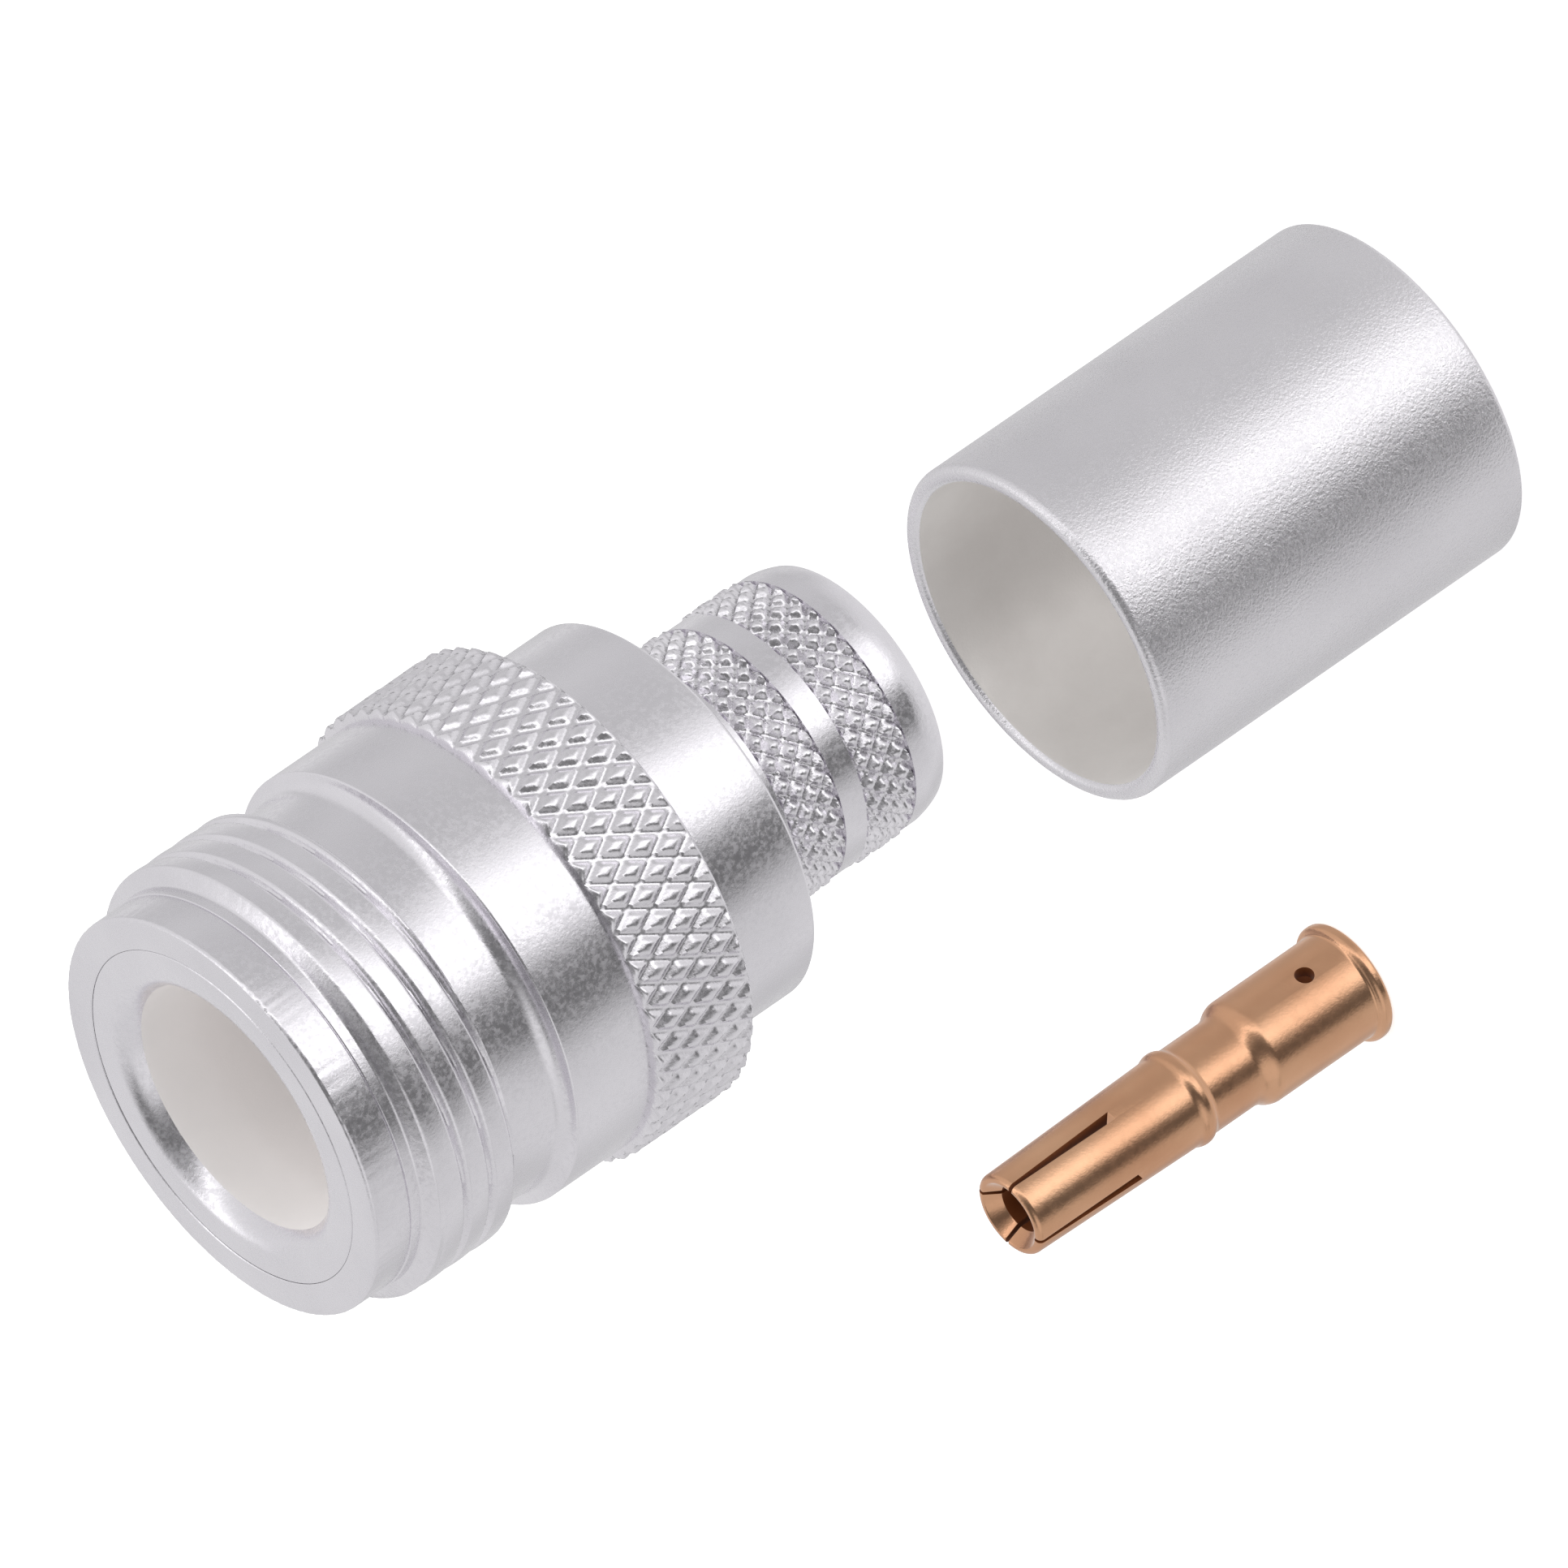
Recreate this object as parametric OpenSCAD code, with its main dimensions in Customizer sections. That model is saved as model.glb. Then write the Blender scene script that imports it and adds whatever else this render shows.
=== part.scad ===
// N jack for a 10 mm coaxial cable, crimp type, as the maker packs it:
// the connector, its crimp ferrule and its centre contact, each standing on its rear end.
// The connector's axis is Z, its rear end is at z = 0 and its mating face is on top.

/* [Mating end] */
// Outside diameter of the coupling thread, 5/8 inch
thread_d = 15.88; // [15.4:0.02:16.3]
// Length of the coupling thread
thread_len = 3.55; // [2.4:0.05:6]
// Diameter of the plain nose in front of the thread
nose_d = 14.6; // [13.6:0.05:15]
// Length of the nose
nose_len = 1.95; // [1.4:0.05:3]
// Rounding of the nose at the mating face
nose_round = 0.15; // [0.1:0.05:0.5]
// Bore that takes the plug's outer contact
bore_d = 8.1; // [7.6:0.02:8.6]
// Depth of that bore, down to the seat of the plug
bore_depth = 9.1; // [7:0.1:10]
// Diameter of the bore's mouth at the mating face
mouth_d = 9.7; // [9.2:0.05:10.2]
// Depth of the rounded lead-in at the mouth
mouth_depth = 0.55; // [0.3:0.05:1]
// Diameter at the foot of the lead-in, where the taper begins
throat_d = 8.9; // [8.65:0.05:9.1]
// Depth at which the taper ends in the plain bore
throat_depth = 2.6; // [1.6:0.1:3.4]

/* [Threaded shell] */
// Bore of the shell, which shows as a fine ring on the mating face
seam_d = 12.24; // [11.6:0.02:12.8]
// Diameter of the neck behind the thread
neck_d = 14.7; // [14:0.05:15.2]
// Length of the neck, shoulder included
neck_len = 2.4; // [1.5:0.1:4]
// Length of the sloping shoulder between neck and band
shoulder_len = 0.3; // [0.1:0.05:0.6]
// Diameter of the plain band between neck and ring
band_d = 15.9; // [15.5:0.02:16]
// Length of the plain band
band_len = 3.2; // [2:0.1:5]
// Diameter over the knurled ring
ring_d = 16.68; // [16.6:0.02:17.6]
// Length of the knurled ring
ring_len = 4.2; // [3:0.1:6]
// Number of diamonds round the ring
ring_diamonds = 56; // [40:1:64]
// Depth of the ring's knurl
ring_knurl_depth = 0.28; // [0.15:0.01:0.3]
// Turned chamfer on the shell's outer edges
edge_chamfer = 0.12; // [0.05:0.01:0.2]

/* [Crimp body] */
// Diameter of the rear band, which the shell seats on
rear_band_d = 13.88; // [13.2:0.02:14.6]
// Length of the rear band
rear_band_len = 3.7; // [2.5:0.1:5]
// Diameter of the crimp collar
collar_d = 9.4; // [9.1:0.02:9.8]
// Length of the crimp collar
collar_len = 7.9; // [7.6:0.1:10]
// Diameter of the collar's rounded rear end
collar_end_d = 8.5; // [8.3:0.02:8.8]
// Length of the rounding at the collar's rear end
collar_end_len = 0.9; // [0.4:0.05:1.2]
// Length of each knurled zone on the collar
collar_knurl_len = 2; // [1.4:0.1:2.2]
// Smooth length between the rear band and the first knurled zone
collar_root_len = 1.3; // [0.8:0.1:1.5]
// Smooth length between the two knurled zones
collar_gap_len = 1; // [0.6:0.1:1.2]
// Number of diamonds round the collar
collar_diamonds = 35; // [28:1:44]
// Height of the collar's knurl above the smooth collar
collar_knurl_rise = 0.09; // [0.05:0.01:0.12]
// Depth of the collar's knurl
collar_knurl_depth = 0.2; // [0.12:0.01:0.24]
// Bore for the cable's insulation
cable_bore_d = 7.6; // [7.56:0.02:7.8]
// Bore that the insulator is pressed into, which leaves a step at the end of the cable's bore
seat_d = 7.2; // [7:0.02:7.24]
// Hole through the web that the plug seats on
web_d = 6.6; // [6.2:0.05:6.8]
// Thickness of that web
web_len = 1; // [0.6:0.05:1.6]
// Gap all round between pressed pieces
press_gap = 0.01; // [0.005:0.005:0.03]

/* [Insulator] */
// Length of the insulator
insulator_len = 5; // [4.2:0.1:6]
// Gap all round between insulator and contact
contact_gap = 0.05; // [0.03:0.01:0.08]
// Distance from the mating face down to the tip of the fitted contact
contact_recess = 4.1; // [3.8:0.1:4.6]

/* [Crimp ferrule] */
// Outside diameter of the ferrule
ferrule_d = 12; // [11.8:0.02:12.8]
// Length of the ferrule
ferrule_len = 15; // [12:0.1:20]
// Wall of the ferrule
ferrule_wall = 0.6; // [0.4:0.02:0.8]
// Broken edges of the ferrule
ferrule_edge = 0.12; // [0.04:0.01:0.15]

/* [Centre contact] */
// Length of the contact
contact_len = 14.5; // [13.5:0.1:16]
// Diameter at the socket's tip
contact_tip_d = 2.92; // [2.7:0.02:3]
// Diameter at the foot of the socket
socket_d = 3.2; // [3.1:0.02:3.3]
// Diameter behind the bead
waist_d = 3.14; // [3:0.02:3.2]
// Diameter of the bead that snaps into the insulator
bead_d = 3.4; // [3.34:0.02:3.6]
// Distance from the tip to the bead
bead_at = 6.95; // [6.4:0.05:7.4]
// Length of the bead
bead_len = 0.45; // [0.3:0.05:0.6]
// Distance from the tip to the step up to the wire barrel
barrel_at = 9.5; // [9:0.1:10]
// Length of that step
barrel_step = 0.4; // [0.2:0.05:0.6]
// Diameter of the wire barrel
barrel_d = 3.74; // [3.68:0.02:4]
// Diameter of the flange at the wire end
flange_d = 4.2; // [4.1:0.02:4.6]
// Thickness of the flange
flange_len = 0.35; // [0.2:0.05:0.6]
// Bore for the cable's inner conductor
wire_bore_d = 2.85; // [2.6:0.01:2.95]
// Depth of the wire bore
wire_bore_depth = 4.3; // [3.4:0.1:4.8]
// Bore of the socket that takes the plug's pin
socket_bore_d = 1.7; // [1.6:0.01:1.8]
// Depth of the socket
socket_depth = 6.5; // [5:0.1:6.6]
// Mouth of the socket's cone
socket_mouth_d = 2.4; // [2.1:0.05:2.6]
// Depth of the socket's cone
socket_mouth_depth = 0.5; // [0.3:0.05:0.8]
// Length of the four slots
slot_len = 4.3; // [3.4:0.1:4.8]
// Width of a slot at its closed end
slot_w = 0.26; // [0.2:0.01:0.36]
// Width of a slot at the tip, where the fingers close in
slot_tip_w = 0.1; // [0.06:0.01:0.18]
// Diameter of the sight hole in the wire barrel
sight_hole_d = 0.65; // [0.5:0.01:0.9]
// Distance from the wire end to the sight hole
sight_hole_at = 2; // [1.4:0.1:2.8]
// Direction of the first slot and of the sight hole, in degrees about Z
contact_turn = -60; // [-180:5:180]

/* [Layout] */
// Ferrule's place on the floor, across
ferrule_x = -2; // [-6:0.5:6]
// Ferrule's place on the floor, towards the viewer
ferrule_y = -42.5; // [-46:0.5:-20]
// Contact's place on the floor, across
contact_x = -16.5; // [-22:0.5:-12.5]
// Contact's place on the floor, towards the viewer
contact_y = -17; // [-22:0.5:-4]

/* [Hidden] */
$fn = 96;
// Steps in a rounded edge
ROUND_STEPS = 5;
// How far a cutter runs past the face that it opens
PAST = 1;
// Slope of the thread's end faces, along for each unit across
THREAD_END_SLOPE = 0.25;
// How far the knurl's root stands clear of the core below it
CORE_CLEAR = 0.08;
// How far a knurled zone on the collar reaches under its smooth neighbours
KNURL_LAP = 0.05;
// Height of the chamfer row at each end of a knurl
KNURL_CHAMFER = 0.15;
// Height of a diamond on the ring for each unit of its width: tan(60), a 30 degree knurl
RING_DIAMOND_RATIO = tan(60);
// The same on the collar, a 45 degree knurl
COLLAR_DIAMOND_RATIO = tan(45);

SILVER = [0.77, 0.76, 0.78];
COPPER = [0.79, 0.53, 0.38];
PTFE = [0.93, 0.93, 0.9];

// Heights of the faces along the connector, from its rear end up
z_shell = collar_len + rear_band_len;
z_band = z_shell + ring_len;
z_neck = z_band + band_len;
z_thread = z_neck + neck_len;
z_nose = z_thread + thread_len;
z_front = z_nose + nose_len;
z_seat = z_front - bore_depth;
z_web = z_seat - web_len;
z_insulator = z_web - insulator_len;

// Heights of the contact's faces, from its wire end up
c_barrel = contact_len - barrel_at - barrel_step;
c_waist = contact_len - barrel_at;
c_bead = contact_len - bead_at - bead_len;
// Height of the fitted contact's wire end inside the connector
z_contact = z_front - contact_recess - contact_len;

knurl_1_z = collar_len - collar_root_len - collar_knurl_len;
knurl_2_z = knurl_1_z - collar_gap_len - collar_knurl_len;

// Points of a round edge about a centre, from one angle to another
function arc(centre, radius, from, to) =
    [for (i = [0:ROUND_STEPS]) let (a = from + (to - from) * i / ROUND_STEPS)
        centre + radius * [cos(a), sin(a)]];

// Heights of a diamond knurl's rows: a chamfer at each end and equal rows between
function knurl_rows(length, count) =
    [0, for (i = [0:count]) KNURL_CHAMFER + (length - 2 * KNURL_CHAMFER) * i / count, length];

// A solid disc with a raised diamond knurl. Crests and roots take turns round each
// row and from row to row, and each square between them is folded along its root line.
module diamond_knurl(d, depth, length, diamonds, diamond_ratio) {
    round_count = 2 * diamonds;
    row_height = PI * d / diamonds * diamond_ratio / 2;
    rows = knurl_rows(length, max(2, round((length - 2 * KNURL_CHAMFER) / row_height)));
    last = len(rows) - 1;
    function is_crest(row, i) = row > 0 && row < last && (row + i) % 2 == 0;
    function at(row, i) = row * round_count + i % round_count;
    points = [for (row = [0:last]) for (i = [0:round_count - 1])
        let (r = d / 2 - (is_crest(row, i) ? 0 : depth), a = 360 * i / round_count)
        [r * cos(a), r * sin(a), rows[row]]];
    sides = [for (row = [0:last - 1]) for (i = [0:round_count - 1])
        each (row + i) % 2 == 0
            ? [[at(row, i), at(row + 1, i), at(row, i + 1)],
               [at(row + 1, i), at(row + 1, i + 1), at(row, i + 1)]]
            : [[at(row, i), at(row + 1, i), at(row + 1, i + 1)],
               [at(row, i), at(row + 1, i + 1), at(row, i + 1)]]];
    bottom = [for (i = [0:round_count - 1]) at(0, i)];
    top = [for (i = [round_count - 1:-1:0]) at(last, i)];
    polyhedron(points = points, faces = concat(sides, [bottom, top]));
}

// Turned shell: nose, coupling thread (left plain), neck, band and the core of the ring
module shell_turning() {
    thread_r = thread_d / 2;
    nose_r = nose_d / 2;
    neck_r = neck_d / 2;
    band_r = band_d / 2;
    thread_drop = thread_r - neck_r;
    run_in = thread_r - nose_r;
    rotate_extrude()
        polygon(concat(
            [[seam_d / 2, z_shell],
             [band_r - edge_chamfer, z_shell],
             [band_r, z_shell + edge_chamfer],
             [band_r, z_neck - edge_chamfer],
             [band_r - edge_chamfer, z_neck],
             [neck_r, z_neck + shoulder_len],
             [neck_r, z_thread],
             [thread_r, z_thread + thread_drop * THREAD_END_SLOPE],
             [thread_r, z_nose - run_in * THREAD_END_SLOPE],
             [nose_r, z_nose]],
            arc([nose_r - nose_round, z_front - nose_round], nose_round, 0, 90),
            [[seam_d / 2, z_front]]));
}

module threaded_shell() {
    color(SILVER)
        difference() {
            union() {
                shell_turning();
                translate([0, 0, z_shell + edge_chamfer])
                    diamond_knurl(ring_d, ring_knurl_depth, ring_len - edge_chamfer,
                        ring_diamonds, RING_DIAMOND_RATIO);
            }
            translate([0, 0, z_shell - PAST])
                cylinder(h = z_front - z_shell + 2 * PAST, d = seam_d);
        }
}

// Turned crimp body: collar, rear band and the long sleeve that fills the shell
module crimp_turning() {
    collar_r = collar_d / 2;
    end_r = collar_end_d / 2;
    core_r = collar_r + collar_knurl_rise - collar_knurl_depth - CORE_CLEAR;
    rear_r = rear_band_d / 2;
    sleeve_r = seam_d / 2 - press_gap;
    end_round = [for (i = [0:ROUND_STEPS]) let (a = 90 * i / ROUND_STEPS)
        [end_r + (collar_r - end_r) * sin(a), collar_end_len * (1 - cos(a))]];
    rotate_extrude()
        polygon(concat(
            [[0, 0]],
            end_round,
            [[collar_r, knurl_2_z],
             [core_r, knurl_2_z],
             [core_r, knurl_2_z + collar_knurl_len],
             [collar_r, knurl_2_z + collar_knurl_len],
             [collar_r, knurl_1_z],
             [core_r, knurl_1_z],
             [core_r, knurl_1_z + collar_knurl_len],
             [collar_r, knurl_1_z + collar_knurl_len],
             [collar_r, collar_len],
             [rear_r - edge_chamfer, collar_len],
             [rear_r, collar_len + edge_chamfer],
             [rear_r, z_shell],
             [sleeve_r, z_shell],
             [sleeve_r, z_front],
             [0, z_front]]));
}

module collar_knurl(z) {
    translate([0, 0, z - KNURL_LAP])
        diamond_knurl(collar_d + 2 * collar_knurl_rise, collar_knurl_depth,
            collar_knurl_len + 2 * KNURL_LAP, collar_diamonds, COLLAR_DIAMOND_RATIO);
}

module crimp_body() {
    color(SILVER)
        difference() {
            union() {
                crimp_turning();
                collar_knurl(knurl_1_z);
                collar_knurl(knurl_2_z);
            }
            translate([0, 0, z_seat])
                cylinder(h = bore_depth + PAST, d = bore_d);
            rotate_extrude()
                polygon([[0, z_front - throat_depth],
                    [bore_d / 2, z_front - throat_depth],
                    [throat_d / 2, z_front - mouth_depth],
                    [mouth_d / 2, z_front],
                    [mouth_d / 2, z_front + PAST],
                    [0, z_front + PAST]]);
            translate([0, 0, z_web - PAST])
                cylinder(h = web_len + 2 * PAST, d = web_d);
            translate([0, 0, z_insulator - PAST])
                cylinder(h = insulator_len + PAST, d = seat_d);
            translate([0, 0, -PAST])
                cylinder(h = z_insulator + PAST, d = cable_bore_d);
        }
}

// Insulator, pressed up to the web. A groove takes the contact's bead and a
// counterbore at the rear takes its wire barrel.
module insulator() {
    contact_r = socket_d / 2 + contact_gap;
    bead_r = bead_d / 2 + contact_gap;
    bead_bottom = z_contact + c_bead - contact_gap;
    color(PTFE)
        difference() {
            translate([0, 0, z_insulator])
                cylinder(h = insulator_len - press_gap, d = seat_d - 2 * press_gap);
            translate([0, 0, z_insulator - PAST])
                cylinder(h = insulator_len + 2 * PAST, r = contact_r);
            translate([0, 0, bead_bottom])
                cylinder(h = bead_len + 2 * contact_gap, r = bead_r);
            translate([0, 0, z_insulator - PAST])
                cylinder(h = z_contact + c_waist + PAST - z_insulator,
                    r = barrel_d / 2 + contact_gap);
        }
}

module crimp_ferrule() {
    outer = ferrule_d / 2;
    inner = outer - ferrule_wall;
    color(SILVER)
        translate([ferrule_x, ferrule_y, 0])
            rotate_extrude()
                polygon([[inner, ferrule_edge],
                    [inner + ferrule_edge, 0],
                    [outer - ferrule_edge, 0],
                    [outer, ferrule_edge],
                    [outer, ferrule_len - ferrule_edge],
                    [outer - ferrule_edge, ferrule_len],
                    [inner + ferrule_edge, ferrule_len],
                    [inner, ferrule_len - ferrule_edge]]);
}

// Turned outside of the contact: flange, wire barrel, waist, bead and tapered socket
module contact_turning() {
    tip_round = 0.12;
    bead_r = bead_d / 2;
    rotate_extrude()
        polygon(concat(
            [[0, 0],
             [flange_d / 2, 0],
             [flange_d / 2, flange_len],
             [barrel_d / 2, flange_len],
             [barrel_d / 2, c_barrel],
             [waist_d / 2, c_waist],
             [waist_d / 2, c_bead],
             [bead_r, c_bead + bead_len / 4],
             [bead_r, c_bead + bead_len * 3 / 4],
             [socket_d / 2, c_bead + bead_len]],
            arc([contact_tip_d / 2 - tip_round, contact_len - tip_round], tip_round, 0, 90),
            [[0, contact_len]]));
}

// Wedge that cuts two opposite slots, wide at the foot and narrow at the tip
module slot_pair() {
    translate([0, 0, contact_len - slot_len])
        rotate([90, 0, 90])
            linear_extrude(height = flange_d, center = true)
                polygon([[-slot_w / 2, 0], [slot_w / 2, 0],
                    [slot_tip_w / 2, slot_len + PAST], [-slot_tip_w / 2, slot_len + PAST]]);
}

module centre_contact() {
    color(COPPER)
        translate([contact_x, contact_y, 0])
            rotate([0, 0, contact_turn])
                difference() {
                    contact_turning();
                    translate([0, 0, -PAST])
                        cylinder(h = wire_bore_depth + PAST, d = wire_bore_d);
                    translate([0, 0, contact_len - socket_depth])
                        cylinder(h = socket_depth + PAST, d = socket_bore_d);
                    translate([0, 0, contact_len - socket_mouth_depth])
                        cylinder(h = socket_mouth_depth, d1 = socket_bore_d, d2 = socket_mouth_d);
                    slot_pair();
                    rotate([0, 0, 90])
                        slot_pair();
                    translate([0, 0, sight_hole_at])
                        rotate([0, 90, 0])
                            cylinder(h = flange_d, d = sight_hole_d);
                }
}

threaded_shell();
crimp_body();
insulator();
crimp_ferrule();
centre_contact();
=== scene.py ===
# %% [markdown]
# # A crimp-type N jack, as the maker packs it
# The part has three loose pieces: a silver-plated connector, the crimp ferrule that goes over its collar, and
# the slotted centre contact. Each stands on its rear end. The solids from OpenSCAD hold every size. This
# lesson gives the same pieces what a solid model leaves out: the turns of the thread, soft edges, the crisp
# diamonds of the knurls and the skin of the metal.
#
# Every turned piece is made as on a lathe: a half profile is drawn, its corners are rounded, and it is spun
# about its axis. One profile is easy to read and to correct, which is why this way was chosen over cylinders
# joined with booleans.

# %% Load the frame
import math

import bmesh
import bpy
from mathutils import Matrix, Vector, noise


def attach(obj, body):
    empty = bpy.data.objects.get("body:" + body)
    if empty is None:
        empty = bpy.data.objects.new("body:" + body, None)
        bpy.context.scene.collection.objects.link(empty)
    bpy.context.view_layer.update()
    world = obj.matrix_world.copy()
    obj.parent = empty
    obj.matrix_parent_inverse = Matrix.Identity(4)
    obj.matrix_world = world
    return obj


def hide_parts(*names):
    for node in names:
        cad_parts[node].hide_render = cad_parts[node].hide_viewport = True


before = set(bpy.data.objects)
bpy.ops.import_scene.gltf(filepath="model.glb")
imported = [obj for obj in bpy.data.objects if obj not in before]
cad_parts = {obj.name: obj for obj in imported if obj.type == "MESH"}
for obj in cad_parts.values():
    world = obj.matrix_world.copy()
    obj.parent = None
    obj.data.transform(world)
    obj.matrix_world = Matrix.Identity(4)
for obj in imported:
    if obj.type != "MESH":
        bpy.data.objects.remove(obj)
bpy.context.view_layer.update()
scene = bpy.context.scene
MM = 0.001


def in_mm(point):
    return [round(v / MM, 2) for v in point]


print("nodes:", sorted(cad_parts))

# %% [markdown]
# ## Sizes that the pieces share
# The sizes below are those of the solids, in millimetres, because a turner's drawing is read in millimetres.
# They are multiplied by MM only when a vertex is made. Each Z is a height above the table.

# %% Heights and radii
Z_COLLAR = 7.9
Z_SHELL = 11.6
Z_INSULATOR = 11.8
Z_BAND = 15.8
Z_WEB = 16.8
Z_SEAT = 17.8
Z_NECK = 19.0
Z_THREAD = 21.4
Z_NOSE = 24.95
Z_FRONT = 26.9
THREAD_R, THREAD_PITCH = 7.94, 25.4 / 24
NOSE_R, NECK_R, BAND_R = 7.3, 7.35, 7.95
RING_R, RING_DEPTH, RING_DIAMONDS = 8.34, 0.18, 56
SEAM_R = 6.12
REAR_R, COLLAR_R, COLLAR_END_R = 6.94, 4.7, 4.25
COLLAR_DIAMONDS, COLLAR_KNURL_R, COLLAR_KNURL_DEPTH = 35, 4.79, 0.25
COLLAR_KNURLS = ((4.6, 6.6), (1.6, 3.6))
BORE_R, THROAT_R, MOUTH_R = 4.05, 4.45, 4.85
CABLE_R, SEAT_R, WEB_R = 3.8, 3.6, 3.3
FERRULE_AT, FERRULE_R, FERRULE_LEN, FERRULE_WALL = (-2.0, -42.5), 6.0, 15.0, 0.6
CONTACT_AT, CONTACT_LEN, CONTACT_TURN = (-16.5, -17.0), 14.5, -60.0
print("thread pitch in mm:", round(THREAD_PITCH, 3))

# %% [markdown]
# ## The lathe
# A profile is a closed line in the XZ plane. Each corner may have a radius: the vertex is bevelled before the
# spin, so a rounded edge costs four rings and no modifier. A stretch that will carry a thread or a knurl is
# subdivided first, so that the spun skin has rows to shape.

# %% Profile, rounding and spin
STEPS_PER_DIAMOND = 10
ROUND_STEPS = 128


def profile(points):
    """A closed line through (r, z) or (r, z, rounding), its corners rounded."""
    bm = bmesh.new()
    verts = [bm.verts.new((p[0] * MM, 0, p[1] * MM)) for p in points]
    for a, b in zip(verts, verts[1:] + verts[:1]):
        bm.edges.new((a, b))
    for vert, point in zip(verts, points):
        if len(point) > 2:
            bmesh.ops.bevel(bm, geom=[vert], offset=point[2] * MM, offset_type="OFFSET", segments=4,
                            profile=0.5, affect="VERTICES", material=-1)
    return bm


def add_rows(bm, r, low, high, cuts):
    """Cuts the line's long edge at radius r between two heights into rows."""
    def inside(v):
        return abs(v.co.x - r * MM) < 1e-6 and (low - 0.01) * MM < v.co.z < (high + 0.01) * MM
    edges = [e for e in bm.edges if all(inside(v) for v in e.verts)]
    edge = max(edges, key=lambda e: e.calc_length())
    bmesh.ops.subdivide_edges(bm, edges=[edge], cuts=cuts)


def turn(bm, steps):
    """Spins the profile round Z and closes it."""
    bmesh.ops.spin(bm, geom=bm.verts[:] + bm.edges[:], cent=(0, 0, 0), axis=(0, 0, 1), angle=2 * math.pi,
                   steps=steps, use_merge=True, use_duplicate=False)
    bmesh.ops.remove_doubles(bm, verts=bm.verts[:], dist=1e-7)
    bmesh.ops.recalc_face_normals(bm, faces=bm.faces[:])


print("steps round a plain turning:", ROUND_STEPS)

# %% [markdown]
# ## From mesh to piece
# Each finished mesh becomes one object at the origin, with its place in the mesh as a CAD node has it. It
# rides on the root body and replaces its plain solid.

# %% Hand a mesh over
def make_piece(name, bm, node, at=(0.0, 0.0), sharp=40):
    """One smooth object from a mesh, with edges kept sharp beyond an angle in degrees."""
    bmesh.ops.translate(bm, verts=bm.verts[:], vec=(at[0] * MM, at[1] * MM, 0))
    open_edges = sum(1 for e in bm.edges if len(e.link_faces) != 2)
    mesh = bpy.data.meshes.new(name)
    bm.to_mesh(mesh)
    bm.free()
    mesh.shade_smooth()
    mesh.set_sharp_from_angle(angle=math.radians(sharp))
    piece = bpy.data.objects.new(name, mesh)
    scene.collection.objects.link(piece)
    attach(piece, "root")
    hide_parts(node)
    triangles = sum(len(p.vertices) - 2 for p in mesh.polygons)
    print(name, "triangles:", triangles, "open edges:", open_edges)
    return piece


# %% [markdown]
# ## The knurls
# A diamond knurl is two families of V grooves that cross. Seen as a map, one family runs where u + w is a
# whole number and the other where u - w is, with u counted in diamonds round the piece and w along it. What
# stays between the grooves is a diamond. The wheel never cuts it to a point: KNURL_TOP is the share of the
# diamond that keeps the turned surface. The skin is moved in and out by this map: real relief, which catches
# the light at every angle.

# %% Relief of a diamond knurl
KNURL_TOP = 0.3


def knurl_relief(u, w, tip, root):
    """About 0 in a groove and 1 on the flat top of a diamond, with its tips and roots rounded."""
    across = abs((u + w) % 1.0 - 0.5) * 2
    along = abs((u - w) % 1.0 - 0.5) * 2
    rise = 1 - math.hypot(max(0.0, max(across, along) - KNURL_TOP) / (1 - KNURL_TOP), tip)
    low, high = root, math.hypot(1 - tip, root)
    return (math.hypot(max(0.0, rise), root) - low) / (high - low)


def knurl(bm, outer, depth, low, high, diamonds, pitch, chamfer, tip, root):
    """Moves the skin between two heights to the relief, faded at both ends of the zone."""
    moved = 0
    for v in bm.verts:
        r, z = math.hypot(v.co.x, v.co.y) / MM, v.co.z / MM
        if r > outer - 0.001 and low - 1e-6 < z < high + 1e-6:
            u = math.atan2(v.co.y, v.co.x) / (2 * math.pi) * diamonds
            relief = knurl_relief(u, (z - low) / pitch, tip, root)
            end = min(1.0, (z - low) / chamfer, (high - z) / chamfer)
            new_r = outer - depth * (1 - min(relief, max(0.0, end)))
            v.co.x *= new_r / r
            v.co.y *= new_r / r
            moved += 1
    print("knurl of", diamonds, "diamonds, vertices moved:", moved)


# %% [markdown]
# ## The coupling thread
# The nut of the plug runs on a 5/8-24 thread, right-handed. Only three turns are left between the nose and
# the neck. A helix needs no sweep here: going once round, the same wave just climbs by one pitch, so the spun
# skin is pulled in and out by height minus turn. The crest is rounded, the groove runs out before the nose,
# and small nicks break its lips, as handling leaves them.

# %% Relief of the thread
THREAD_LOW, THREAD_HIGH = Z_THREAD + 0.06, Z_NOSE - 0.16
GROOVE_AT, GROOVE_DEPTH, GROOVE_HALF = 23.78, 0.17, 0.18
RUN_OUT_AT, RUN_OUT_LEN = 24.3, 0.35
CROWN = 0.045
END_LEN, END_DEPTH = 0.08, 0.05
LIP_WIDTH, NICK, NICKS_PER_M = 0.08, 0.012, 7000


def smooth_step(x):
    x = max(0.0, min(1.0, x))
    return x * x * (3 - 2 * x)


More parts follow.
